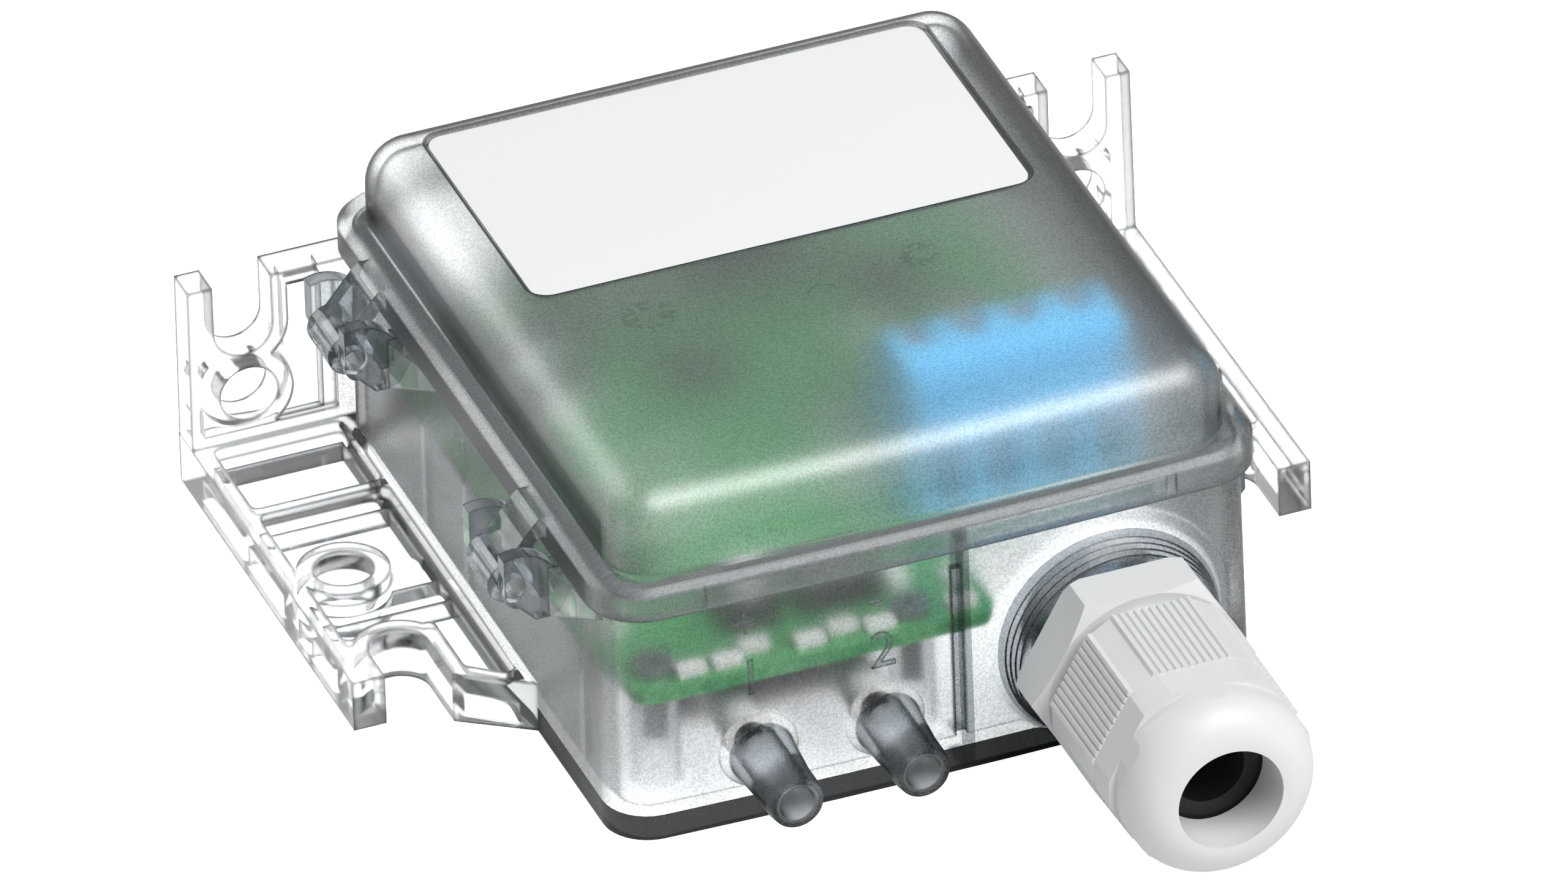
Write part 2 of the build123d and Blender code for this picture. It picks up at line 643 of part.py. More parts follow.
def circuit_board():
    """Board with a corner cut away for the gland, and clearance holes over the posts."""
    outline = [
        (-BOARD_HALF, BOARD_FRONT),
        (BAY_X, BOARD_FRONT),
        (BAY_X, BAY_Y),
        (BOARD_HALF, BAY_Y),
        (BOARD_HALF, BOARD_BACK),
        (-BOARD_HALF, BOARD_BACK),
    ]
    board = floor_prism(outline, BOARD_Z, BOARD_TOP, BOARD_CORNER)
    for x, y in POSTS:
        board -= rod(x, y, BOARD_Z - 1, SCREW_R + 0.2, BOARD_T + 2)
    return board


def board_screws():
    """Five cross head screws, one in each post."""
    screws = []
    arm = SCREW_HEAD_R - 0.6
    for x, y in POSTS:
        screw = rod(x, y, BOARD_TOP - SCREW_DEEP, SCREW_R, SCREW_DEEP)
        screw += rod(x, y, BOARD_TOP, SCREW_HEAD_R, SCREW_HEAD)
        for dx, dy in ((arm, CROSS / 2), (CROSS / 2, arm)):
            screw -= block(x - dx, x + dx, y - dy, y + dy, BOARD_TOP + 0.6, BOARD_TOP + 2)
        screws.append(screw)
    return screws


def pressure_sensor():
    """Measuring cell below the board, with a port in line with each spigot."""
    x0 = PORT_X[0] - SENSOR_SIDE
    x1 = PORT_X[1] + SENSOR_SIDE
    y1 = SENSOR_Y0 + SENSOR_LONG
    neck = SENSOR_NECK
    body = block(x0, x1, SENSOR_Y0, y1, SENSOR_Z0, SENSOR_Z1)
    body = fillet(body.edges().filter_by(Axis.Z), 1.2)
    body += block(x0 + neck, x1 - neck, SENSOR_Y0 + neck, y1 - neck, SENSOR_Z1 - 0.5, BOARD_Z)
    for x in PORT_X:
        body += rod(x, SENSOR_STUB_Y, PORT_Z, STUB_R, SENSOR_Y0 - SENSOR_STUB_Y + 0.5, "y")
    for x in PORT_X:
        body -= rod(x, SENSOR_STUB_Y - 1, PORT_Z, STUB_BORE, STUB_DRILL, "y")
    return body


def short_hose(x):
    """Soft tube from the housing's inner spigot to the sensor's port."""
    y0 = TUB_FRONT + WALL + 0.5
    y1 = SENSOR_Y0 - 0.4
    tube = rod(x, y0, PORT_Z, HOSE_R, y1 - y0, "y")
    return tube - rod(x, y0 - 1, PORT_Z, STUB_R + HOSE_GRIP, y1 - y0 + 2, "y")


def pole_x(i):
    return TERM_X0 + TERM_END + PITCH * (i + 0.5)


def terminal_block():
    """Screw terminal: a wire way in front and a screw shaft above each pole."""
    body = block(TERM_X0, TERM_X1, TERM_Y0, TERM_Y1, BOARD_TOP, TERM_TOP)
    upper_back = body.edges().filter_by(Axis.X).sort_by(Axis.Y)[-2:].sort_by(Axis.Z)[-1]
    body = chamfer(upper_back, TERM_CHAMFER)
    half = CAGE_HALF + TERM_PLAY
    back = TERM_Y1 - CAGE_SINK + 0.2
    for i in range(POLES):
        x = pole_x(i)
        body -= block(x - half, x + half, TERM_Y0 - 1, back, CAGE_Z0 - TERM_PLAY, CAGE_TOP + 0.6)
        body -= rod(x, TERM_SCREW_Y, CAGE_TOP, TERM_SCREW_R + TERM_PLAY, TERM_TOP - CAGE_TOP + 1)
    return body


def wire_clamps():
    """Four metal cages, open in front and behind, that the screws pull up on the wires."""
    cages = []
    y0 = TERM_Y0 + CAGE_SINK
    y1 = TERM_Y1 - CAGE_SINK
    way = CAGE_HALF - CAGE_WALL
    for i in range(POLES):
        x = pole_x(i)
        cage = block(x - CAGE_HALF, x + CAGE_HALF, y0, y1, CAGE_Z0 - TERM_PLAY, CAGE_TOP)
        cage -= block(x - way, x + way, y0 - 1, y1 + 1, CAGE_Z0 + CAGE_WALL, CAGE_TOP - CAGE_ROOF)
        cage -= rod(x, TERM_SCREW_Y, CAGE_TOP - CAGE_ROOF - 0.6, TERM_SHANK_R + SHANK_PLAY, 3)
        cages.append(cage)
    return cages


def terminal_screw(i):
    """Slotted clamp screw."""
    x = pole_x(i)
    neck = TERM_SCREW_TOP - TERM_HEAD
    tip = CAGE_TOP - SCREW_REACH
    slot = TERM_SLOT / 2
    y = TERM_SCREW_Y
    screw = rod(x, y, neck, TERM_SCREW_R, TERM_HEAD) + rod(x, y, tip, TERM_SHANK_R, neck - tip)
    floor = TERM_SCREW_TOP - TERM_SLOT_DEEP
    return screw - block(x - 3, x + 3, y - slot, y + slot, floor, TERM_SCREW_TOP + 1)


def on_board(from_left, from_front):
    """A place on the board, measured from its left and front edges."""
    return from_left - BOARD_HALF, from_front + BOARD_FRONT


SWITCH_ROW_Y = BOARD_FRONT + 10.2
SWITCH_AT = (BAY_X - 15.0, SWITCH_ROW_Y)
ZERO_AT = (SWITCH_AT[0] - 10.0, SWITCH_ROW_Y)
TRIM_AT = on_board(6.7, 23.7)
HEADER_AT = (4.0, BOARD_BACK - 9.9)
LED_AT = (SWITCH_AT[0] + 6.8, SWITCH_ROW_Y - 0.3)
# From the board's left and front edges: place, body size, height, lead pitch
CHIPS = {
    "microcontroller": (24.7, 45.7, 7.0, 7.0, 1.3, 0.8),
    "signal_amplifier": (14.7, 57.7, 4.0, 5.0, 1.5, 1.27),
    "voltage_regulator": (49.7, 53.7, 6.2, 6.0, 2.2, 2.2),
}
# Leads on a side, and whether all four sides have them
CHIP_LEADS = {"microcontroller": (8, True), "signal_amplifier": (4, False), "voltage_regulator": (3, False)}
CAPACITORS = ((8.7, 41.7, 3.2, 7.0), (8.7, 50.7, 3.2, 7.0), (52.7, 41.2, 2.6, 5.5))
# From the board's left and front edges, and whether the part lies along X
SMALL_PARTS = (
    (2.7, 13.7, False), (2.7, 17.7, False), (6.7, 2.1, True), (10.7, 2.1, True), (14.3, 3.7, True),
    (12.3, 31.7, True), (16.7, 31.7, True), (34.7, 31.7, True), (34.7, 28.7, True), (42.7, 45.7, False),
    (45.7, 45.7, False), (26.7, 64.7, True), (22.7, 64.7, True),
)
# The same from the bay's side edge
BAY_PARTS = (
    (-20.6, 2.3, True), (-16.6, 3.3, True), (-12.8, 2.1, True), (-20.6, 16.7, False), (-18.0, 16.7, False),
    (-3.4, 2.5, True), (-2.6, 7.7, False),
)


def legged_chip(name):
    """A black chip body with flat leads, standing on the board."""
    left, front, size_x, size_y, high, pitch = CHIPS[name]
    legs, four_sides = CHIP_LEADS[name]
    x, y = on_board(left, front)
    z = BOARD_TOP
    half_x = size_x / 2
    half_y = size_y / 2
    body = block(x - half_x, x + half_x, y - half_y, y + half_y, z + CHIP_LIFT, z + high)
    out_x = half_x + LEAD_OUT
    out_y = half_y + LEAD_OUT
    half = LEAD / 2
    for i in range(legs):
        at = (i - (legs - 1) / 2) * pitch
        body += block(x - out_x, x + out_x, y + at - half, y + at + half, z, z + LEAD_HIGH)
        if four_sides:
            body += block(x + at - half, x + at + half, y - out_y, y + out_y, z, z + LEAD_HIGH)
    return body


def filter_capacitors():
    """Three can capacitors, each on its square foot."""
    caps = []
    for left, front, r, high in CAPACITORS:
        x, y = on_board(left, front)
        side = r + 0.2
        can = rod(x, y, BOARD_TOP + CAN_BASE - 0.1, r, high)
        can = chamfer(can.edges().filter_by(GeomType.CIRCLE).sort_by(Axis.Z)[-1], CAN_EDGE)
        caps.append(can + block(x - side, x + side, y - side, y + side, BOARD_TOP, BOARD_TOP + CAN_BASE))
    return caps


def small_parts():
    """Chip resistors and capacitors, spread over the board."""
    spots = [(*on_board(left, front), across) for left, front, across in SMALL_PARTS]
    spots += [(BAY_X + dx, BOARD_FRONT + front, across) for dx, front, across in BAY_PARTS]
    parts = []
    for x, y, across in spots:
        a, b = (BIT_LONG / 2, BIT_WIDE / 2) if across else (BIT_WIDE / 2, BIT_LONG / 2)
        parts.append(block(x - a, x + a, y - b, y + b, BOARD_TOP, BOARD_TOP + BIT_HIGH))
    return parts


def slider_x(i):
    return SWITCH_AT[0] + (i - (SLIDERS - 1) / 2) * SLIDER_PITCH


def range_switch():
    """Small switch block with one open groove for each slider."""
    x, y = SWITCH_AT
    half = SLIDERS * SLIDER_PITCH / 2 + 0.6
    deep = SWITCH_DEEP / 2
    body = block(x - half, x + half, y - deep, y + deep, BOARD_TOP, BOARD_TOP + SWITCH_HIGH)
    wide = SLIDER_WIDE / 2 + SLIDER_PLAY
    way = (SLIDER_LONG + SLIDER_TRAVEL) / 2 + SLIDER_PLAY
    floor = BOARD_TOP + SWITCH_HIGH - SWITCH_GROOVE
    for i in range(SLIDERS):
        sx = slider_x(i)
        body -= block(sx - wide, sx + wide, y - way, y + way, floor, floor + 2)
    return body


def range_slider(i):
    """White knob at the front end of its groove."""
    sx = slider_x(i)
    y0 = SWITCH_AT[1] - (SLIDER_LONG + SLIDER_TRAVEL) / 2
    z0 = BOARD_TOP + SWITCH_HIGH - SWITCH_GROOVE + SLIDER_PLAY / 2
    half = SLIDER_WIDE / 2
    return block(sx - half, sx + half, y0, y0 + SLIDER_LONG, z0, BOARD_TOP + SLIDER_TOP)


def zero_switch():
    """Square body of the push switch, with a round well for its button."""
    x, y = ZERO_AT
    half = ZERO_HALF
    body = block(x - half, x + half, y - half, y + half, BOARD_TOP, BOARD_TOP + ZERO_HIGH)
    return body - rod(x, y, BOARD_TOP + ZERO_HIGH - ZERO_WELL, ZERO_R + ZERO_PLAY, 2)


def zero_button():
    x, y = ZERO_AT
    return rod(x, y, BOARD_TOP + ZERO_HIGH - ZERO_WELL + ZERO_REST, ZERO_R, ZERO_STEM)


def offset_trimmer():
    """Square trimmer body with a round well for its rotor."""
    x, y = TRIM_AT
    half = TRIM_HALF
    body = block(x - half, x + half, y - half, y + half, BOARD_TOP, BOARD_TOP + TRIM_HIGH)
    return body - rod(x, y, BOARD_TOP + TRIM_HIGH - TRIM_WELL, TRIM_R + TRIM_PLAY, 2)


def trimmer_rotor():
    x, y = TRIM_AT
    z0 = BOARD_TOP + TRIM_HIGH - TRIM_WELL + 0.05
    high = TRIM_WELL + 0.25
    arm = TRIM_R - 0.4
    half = TRIM_SLOT / 2
    disc = rod(x, y, z0, TRIM_R, high)
    return disc - block(x - arm, x + arm, y - half, y + half, z0 + high - 0.7, z0 + high + 1)


def service_header():
    """Pin header for the maker's own programming plug."""
    x, y = HEADER_AT
    half = HEADER_PINS * HEADER_PITCH / 2
    wide = HEADER_WIDE / 2
    body = block(x - half, x + half, y - wide, y + wide, BOARD_TOP, BOARD_TOP + HEADER_HIGH)
    p = PIN / 2
    for i in range(HEADER_PINS):
        px = x + (i - (HEADER_PINS - 1) / 2) * HEADER_PITCH
        body += block(px - p, px + p, y - p, y + p, BOARD_TOP + HEADER_HIGH - 0.5, BOARD_TOP + HEADER_TOP)
    return body


def status_led():
    x, y = LED_AT
    a, b, high = LED_SIZE
    return block(x - a / 2, x + a / 2, y - b / 2, y + b / 2, BOARD_TOP, BOARD_TOP + high)


def hexagon(flats, y0, y1):
    """A hexagonal bar along Y on the gland's line, one flat on top."""
    r = flats / 3 ** 0.5
    face = make_face(
        Polyline(
            *[(GLAND_X + r * cos(radians(60 * i)), 0, GLAND_Z + r * sin(radians(60 * i))) for i in range(6)],
            close=True,
        )
    )
    return Pos(0, y0, 0) * extrude(face, y1 - y0, dir=(0, 1, 0))


def gland_body():
    """Fixed half of the gland: shank, hexagon, collar and the threaded spigot in the nut."""
    back = BOSS_FACE_Y - WASHER
    corner = HEX_FLATS / 2 + 1.75
    hexa = hexagon(HEX_FLATS, HEX_FRONT_Y, back)
    hexa &= turned(
        [
            (0, back),
            (corner - 0.65, back),
            (corner, back - 0.6),
            (corner, HEX_FRONT_Y + 1.0),
            (HEX_FLATS / 2 + 0.1, HEX_FRONT_Y),
            (0, HEX_FRONT_Y),
        ],
        GLAND_X,
        GLAND_Z,
    )
    shank_r = THREAD_R - SHANK_PLAY
    body = hexa + rod(GLAND_X, BOSS_FACE_Y - 1, GLAND_Z, shank_r, SHANK_END_Y - BOSS_FACE_Y + 1, "y")
    body += rod(GLAND_X, COLLAR_Y, GLAND_Z, COLLAR_R, COLLAR_LONG + 0.1, "y")
    body += rod(GLAND_X, SPIGOT_Y, GLAND_Z, SPIGOT_R, SPIGOT_LONG + 0.1, "y")
    body -= rod(GLAND_X, SPIGOT_Y - 1, GLAND_Z, SHANK_BORE, SHANK_END_Y - SPIGOT_Y + 2, "y")
    return body - rod(GLAND_X, SPIGOT_Y - 1, GLAND_Z, SPIGOT_BORE, SEAL_SEAT, "y")


def gland_washer():
    ring = rod(GLAND_X, BOSS_FACE_Y - WASHER, GLAND_Z, WASHER_R, WASHER, "y")
    return ring - rod(GLAND_X, BOSS_FACE_Y - WASHER - 1, GLAND_Z, THREAD_R, WASHER + 2, "y")


def gland_seal():
    """Rubber sleeve that grips the cable inside the spigot."""
    y0 = SPIGOT_Y - SEAL_HEAD
    sleeve = rod(GLAND_X, y0, GLAND_Z, SEAL_R, SEAL_LONG, "y")
    sleeve += rod(GLAND_X, y0, GLAND_Z, SEAL_HEAD_R, SEAL_HEAD - 0.1, "y")
    return sleeve - rod(GLAND_X, y0 - 1, GLAND_Z, CABLE_R, SEAL_LONG + 2, "y")


def nut_section():
    """Nut's ribbed outline: teeth on each flat, smooth round corners."""
    flat = NUT_FLATS / 2
    tip = RIB_WIDE * 0.45
    tooth = ((RIB_WIDE, 0), (tip, RIB_HIGH), (-tip, RIB_HIGH), (-RIB_WIDE, 0))
    points = []
    for side in range(6):
        middle = radians(90 - 60 * side)
        for i in range(RIBS):
            centre = ((RIBS - 1) / 2 - i) * RIB_PITCH
            for offset, high in tooth:
                along = centre + offset
                out = flat + high
                x = GLAND_X + out * cos(middle) - along * sin(middle)
                z = GLAND_Z + out * sin(middle) + along * cos(middle)
                points.append((x, 0, z))
    return make_face(Polyline(*points, close=True))


def gland_nut():
    """Cap nut: ribbed grip, smooth band, round nose with the cable's way in."""
    length = NUT_BACK_Y - NUT_FRONT_Y
    core = hexagon(NUT_FLATS + 0.3, NUT_FRONT_Y, NUT_BACK_Y)
    blank = rod(0, NUT_FRONT_Y, 0, NUT_DOME_R, NUT_NOSE, "y")
    blank = fillet(blank.edges().filter_by(GeomType.CIRCLE).sort_by(Axis.Y)[0], NUT_NOSE_R)
    blank += rod(0, NUT_BAND_Y, 0, NUT_CORNER_R, NUT_BACK_Y - NUT_BAND_Y, "y")
    nut = core & (Pos(GLAND_X, 0, GLAND_Z) * blank)
    nut += Pos(0, NUT_RIB_Y, 0) * extrude(nut_section(), NUT_GRIP, dir=(0, 1, 0))
    nut -= rod(GLAND_X, SPIGOT_Y - 0.3, GLAND_Z, SPIGOT_R + NUT_PLAY, length, "y")
    nut -= rod(GLAND_X, SPIGOT_Y - NUT_SEAL_ROOM, GLAND_Z, NUT_SEAL_R, NUT_SEAL_ROOM + 1, "y")
    return nut - rod(GLAND_X, NUT_FRONT_Y - 1, GLAND_Z, ENTRY_R, length, "y")


CLEAR = (0.62, 0.65, 0.68)
GREEN = (0.16, 0.45, 0.22)
BLUE = (0.25, 0.55, 0.95)
PALE = (0.82, 0.82, 0.82)
DARK = (0.08, 0.08, 0.09)
METAL = (0.75, 0.75, 0.76)
WHITE = (0.95, 0.95, 0.95)

save(base_housing(), "base_housing", CLEAR)
save(cover(), "cover", CLEAR)
save(label(), "label", WHITE)
save(cover_gasket(), "cover_gasket", PALE)
save(circuit_board(), "circuit_board", GREEN)
save(board_screws(), "board_screws", METAL)
save(pressure_sensor(), "pressure_sensor", DARK)
save(short_hose(PORT_X[0]), "high_side_hose", PALE)
save(short_hose(PORT_X[1]), "low_side_hose", PALE)
save(terminal_block(), "terminal_block", BLUE)
save(wire_clamps(), "wire_clamps", METAL)
for pole in range(POLES):
    save(terminal_screw(pole), f"terminal_screw_{pole + 1}", METAL)
for chip in CHIPS:
    save(legged_chip(chip), chip, DARK)
save(filter_capacitors(), "filter_capacitors", METAL)
save(small_parts(), "small_parts", DARK)
save(range_switch(), "range_switch", DARK)
for slot in range(SLIDERS):
    save(range_slider(slot), f"range_slider_{slot + 1}", WHITE)
save(zero_switch(), "zero_switch", DARK)
save(zero_button(), "zero_button", WHITE)
save(status_led(), "status_led", WHITE)
save(offset_trimmer(), "offset_trimmer", DARK)
save(trimmer_rotor(), "trimmer_rotor", METAL)
save(service_header(), "service_header", DARK)
save(gland_body(), "gland_body", PALE)
save(gland_washer(), "gland_washer", DARK)
save(gland_seal(), "gland_seal", DARK)
save(gland_nut(), "gland_nut", PALE)
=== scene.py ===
import math

import bpy
from mathutils import Matrix, Vector


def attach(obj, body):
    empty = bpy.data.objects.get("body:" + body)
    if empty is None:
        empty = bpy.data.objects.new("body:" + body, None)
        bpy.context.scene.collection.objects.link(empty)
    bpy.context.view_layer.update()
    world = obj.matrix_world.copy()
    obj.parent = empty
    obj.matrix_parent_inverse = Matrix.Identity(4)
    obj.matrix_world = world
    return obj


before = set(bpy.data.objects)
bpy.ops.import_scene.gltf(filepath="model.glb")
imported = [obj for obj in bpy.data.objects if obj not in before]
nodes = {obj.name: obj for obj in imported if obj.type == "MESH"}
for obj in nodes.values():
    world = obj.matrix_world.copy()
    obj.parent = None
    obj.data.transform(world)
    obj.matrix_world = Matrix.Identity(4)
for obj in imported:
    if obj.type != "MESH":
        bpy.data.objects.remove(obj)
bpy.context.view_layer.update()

MM = 0.001

# Camera. The photograph is close to a parallel view, so the lens is very long.
AZIMUTH = math.radians(-20.19)
ELEVATION = math.radians(33.56)
ROLL = math.radians(-2.0)
LENS = 800.0
SENSOR = 36.0
FRAME_WIDE = 165.16 * MM
LOOK_RIGHT = -1.85 * MM      # image centre from the frame's origin, along the camera's axes
LOOK_UP = 13.96 * MM
LOOK_DEPTH = 24.6 * MM
CLIP = (0.05, 60.0)

# Light: each lamp's name, place and size in metres, and power in watts
LAMPS_AIM = (0.0, -0.01, 0.02)
LAMPS = (
    ("front", (0.27, -0.52, 0.73), (0.60, 0.60), 9.0),
    ("left", (-0.62, -0.10, 0.70), (0.40, 0.50), 0.5),
    ("back_left", (-0.50, 0.78, 0.42), (0.75, 0.45), 3.2),
)
ROOM_COLOR = (0.95, 0.97, 1.0)
ROOM_LEVEL = 0.19
DIM_LEVEL = 0.5              # of the white view, where clear plastic turns a ray up
DIM_RISE = (0.1, 0.5)        # such rays' rise, from full white to that level
FLOOR_COLOR = (0.85, 0.85, 0.85)
FLOOR_HALF = 4.0
FLOOR_Z = -0.0002

# Places on the part whose looks differ, in mm
ENDLESS = 300.0
TUB_INSIDE = ((-36.3, -41.5, -ENDLESS), (36.3, 41.4, ENDLESS))
LID_INSIDE = ((-34.7, -39.9, -ENDLESS), (34.7, 39.8, 41.8))
LABEL_PLACE = ((-28.6, 0.9, -ENDLESS), (28.6, 35.3, ENDLESS))
INSIDE_CORNER = 5.2
LABEL_CORNER = 2.45
FLOOR_EDGE_TOP = 3.0
SPIGOTS_X = -13.6            # halfway between the two spigots
SPIGOT_ASIDE = 7.1
SPIGOT_Z = 8.8
SPIGOT_RADIUS = 4.4
BORE_RADIUS = 2.35
SPIGOT_ROOT_Y = -42.33
FRONT_Y = -42.0
GLAND = (18.6, 13.5)
BOSS_RADIUS = 13.6
BOSS_ROOT_Y = -42.2
WEB_X = 2.8
WEB_HALF = 0.75
WEB_BACK_Y = -36.0
SKIRT_TOP = 31.0
LABEL_STEP_Z = 41.0
LABEL_STEP = (-0.2, 0.45)    # from outside the label's place to inside it
LID_TOP_Z = 41.5
ARCH_BASE_Y = -10.3
ARCH = ((-0.2, ARCH_BASE_Y), 1.75, 1.45)     # middle, radius and bore
LEFT_STAMP = ((-18.7, -7.2), 3.0, 1.2)
RIGHT_STAMP = ((11.6, -7.5), 2.3, 0.9)
TUB_INSIDE_DEPTH = 1.2       # outer faces lie less deep in TUB_INSIDE and LID_INSIDE
LID_INSIDE_DEPTH = 1.0
TUB_SIDE_X = 36.9
LID_SIDE_X = 38.0
FLANGE_END_Y = -25.0
HINGE_X = -46.5
HINGE_Z = (17.0, 30.0)
HINGE_BACK_Y = 33.0
TO_FRONT = -0.85             # of a normal's y

# Gloss of the coat below and above, and the heights in mm between which it changes
TUB_GLOSS = (0.5, 0.3, 2.0, 4.0)
LID_SKIRT_GLOSS = (0.7, 0.05, 32.8, 33.8)
LID_TOP_GLOSS = (0.05, 1.0, 34.5, 38.0)

# Plastic, with its sizes in mm
CLOUD_MM = 6.0
SMOKED_EDGE_MM = 0.55
SPECK_MM = 0.26
SPECK_RANGE = (0.38, 0.62)
FROST_MM = 0.13
FROST_ROUGHNESS = (-0.05, 0.08)
FROST_RELIEF_MM = 0.04
OUTER_RELIEF = 0.5
INNER_RELIEF = 1.0
EDGE_RANGE = (0.85, 0.998)   # cosine between the round edge's normal and the face's
FAR_SIDE_PLAIN = 0.85
CLEAR_GRAIN_MM = 0.3

# Painted shade on solid stretches of the tub, on the lid's skirt and on the step round the label, times the
# plastic's own tint
FLOOR_EDGE_SHADE = (0.001, 0.0011, 0.0012)
SPIGOT_SHADE = (0.24, 0.26, 0.28)
BOSS_SHADE = (0.18, 0.20, 0.22)
WEB_SHADE = (0.22, 0.24, 0.25)
SKIRT_SHADE = (0.75, 0.76, 0.77)
LABEL_STEP_SHADE = (0.10, 0.10, 0.10)
# Own tints of the lid's moulding marks and of the plastic's specks, and the light that clear plastic lets
# through
MARK_TINT = (0.62, 0.63, 0.64)
SPECK_TINT = (0.55, 0.55, 0.55)
NO_TINT = (1.0, 1.0, 1.0)
LIGHT_THROUGH = 0.95         # of a lamp's light, at each face of clear plastic

# Raised signs: name, text, x, z and height in mm
MARKS = (
    ("mark_1", "1", -21.2, 17.5, 4.6),
    ("mark_2", "2", -6.4, 17.2, 4.6),
    ("mark_plus", "+", -21.6, 24.2, 3.8),
    ("mark_minus", "-", -7.0, 23.8, 3.8),
)
MARK_RISE = 0.14
CAPITAL_SHARE = 0.73         # a capital's height in a font's size
BEFORE_WALL_Y = -60.0


def make_camera():
    """Camera at the photograph's angle, with the object's frame as its guide."""
    back = Vector((
        math.sin(AZIMUTH) * math.cos(ELEVATION),
        -math.cos(AZIMUTH) * math.cos(ELEVATION),
        math.sin(ELEVATION),
    ))
    level = Vector((math.cos(AZIMUTH), math.sin(AZIMUTH), 0.0))
    rise = back.cross(level)
    right = level * math.cos(ROLL) + rise * math.sin(ROLL)
    up = back.cross(right)
    data = bpy.data.cameras.new("camera")
    data.lens = LENS
    data.sensor_width = SENSOR
    data.clip_start, data.clip_end = CLIP
    distance = FRAME_WIDE / 2 / (SENSOR / 2 / LENS)
    place = right * LOOK_RIGHT + up * LOOK_UP + back * (LOOK_DEPTH + distance)
    camera = bpy.data.objects.new("camera", data)
    bpy.context.scene.collection.objects.link(camera)
    turn = Matrix((right, up, back)).transposed().to_4x4()
    camera.matrix_world = Matrix.Translation(place) @ turn
    bpy.context.scene.camera = camera


def rgba(color):
    return (*color, 1.0)


class Look:
    """The nodes of a material or world in the making."""

    def __init__(self, owner, output="OutputMaterial"):
        owner.use_nodes = True
        self.owner = owner
        self.tree = owner.node_tree
        self.tree.nodes.clear()
        self.out = self.node(output)
        self.coordinates = self.node("TexCoord")
        self.place = self.coordinates.outputs["Object"]

    def node(self, kind, inputs=None, **settings):
        """Adds a node, with its settings and what goes into its inputs."""
        made = self.tree.nodes.new("ShaderNode" + kind)
        for key, value in settings.items():
            setattr(made, key, value)
        for key, value in (inputs or {}).items():
            self.feed(value, made.inputs[key])
        return made

    def join(self, source, target):
        self.tree.links.new(source, target)

    def feed(self, value, target):
        """Joins an output, or writes a plain value."""
        if isinstance(value, bpy.types.NodeSocket):
            self.join(value, target)
        else:
            target.default_value = value

    def math(self, operation, first, second=0.0):
        return self.node("Math", {0: first, 1: second}, operation=operation).outputs[0]

    def less(self, value, limit):
        """A mask: 1 where the value is under the limit, otherwise 0."""
        return self.math("LESS_THAN", value, limit)

    def more(self, value, limit):
        return self.math("GREATER_THAN", value, limit)

    def both(self, first, second):
        return self.math("MULTIPLY", first, second)

    def either(self, first, second):
        return self.math("MAXIMUM", first, second)

    def without(self, first, second):
        """The first mask, less the second, which lies inside it."""
        return self.math("SUBTRACT", first, second)

    def near(self, value, middle, half):
        return self.less(self.math("ABSOLUTE", self.math("SUBTRACT", value, middle)), half)

    def within(self, first, second, middle, radius):
        """1 where the point (first, second) is nearer to the middle than the radius."""
        a = self.math("SUBTRACT", first, middle[0])
        b = self.math("SUBTRACT", second, middle[1])
        square = self.math("ADD", self.math("MULTIPLY", a, a), self.math("MULTIPLY", b, b))
        return self.less(square, radius * radius)

    def ring(self, first, second, middle, radius, bore):
        outer = self.within(first, second, middle, radius)
        return self.without(outer, self.within(first, second, middle, bore))

    def vector(self, operation, first, second=(0.0, 0.0, 0.0)):
        made = self.node("VectorMath", {0: first, 1: second}, operation=operation)
        return made.outputs["Value" if operation in ("LENGTH", "DOT_PRODUCT") else "Vector"]

    def axes(self):
        """X, Y and Z of the surface point, in mm."""
        in_mm = self.vector("MULTIPLY", self.place, (1 / MM, 1 / MM, 1 / MM))
        return tuple(self.node("SeparateXYZ", {0: in_mm}).outputs)

    def depth_in(self, low, high, radius):
        """How deep a point lies in a box with round corners, all in mm, and never over the radius."""
        middle = tuple((a + b) / 2 * MM for a, b in zip(low, high))
        core = tuple(((b - a) / 2 - radius) * MM for a, b in zip(low, high))
        offset = self.vector("ABSOLUTE", self.vector("SUBTRACT", self.place, middle))
        beyond = self.vector("MAXIMUM", self.vector("SUBTRACT", offset, core))
        length = self.vector("LENGTH", beyond)
        return self.math("SUBTRACT", radius, self.math("DIVIDE", length, MM))

    def noise(self, size_mm, detail=3.0, roughness=0.55):
        """Cloud noise whose blobs are about size_mm across."""
        scale = 1.0 / (size_mm * MM)
        inputs = {"Vector": self.place, "Scale": scale, "Detail": detail, "Roughness": roughness}
        return self.node("TexNoise", inputs).outputs["Fac"]

    def spread(self, source, low, high, from_low=0.3, from_high=0.7):
        """A value from low to high as the source goes over its range."""
        ranges = {"From Min": from_low, "From Max": from_high, "To Min": low, "To Max": high}
        return self.node("MapRange", {"Value": source, **ranges}).outputs["Result"]

    def mix_value(self, factor, first, second):
        return self.node("Mix", {0: factor, 2: first, 3: second}, data_type="FLOAT").outputs[0]

    def blend(self, factor, first, second):
        """Colour between two colours."""
        inputs = {0: factor, 6: rgba(first), 7: rgba(second)}
        return self.node("Mix", inputs, data_type="RGBA").outputs[2]

    def multiply(self, factor, first, second):
        """First colour, multiplied by the second where the factor is 1."""
        inputs = {0: factor, 6: first, 7: rgba(second) if isinstance(second, tuple) else second}
        return self.node("Mix", inputs, data_type="RGBA", blend_type="MULTIPLY").outputs[2]

    def rounded(self, radius_mm, samples):
        """The surface's normal, as if its edges were round."""
        return self.node("Bevel", {"Radius": radius_mm * MM}, samples=samples).outputs[0]

    def principled(self, color, roughness, **values):
        inputs = {key.replace("_", " "): value for key, value in values.items()}
        inputs.update({"Base Color": rgba(color), "Roughness": roughness})
        self.shader = self.node("BsdfPrincipled", inputs)

    def on_shader(self, name, source):
        self.join(source, self.shader.inputs[name])

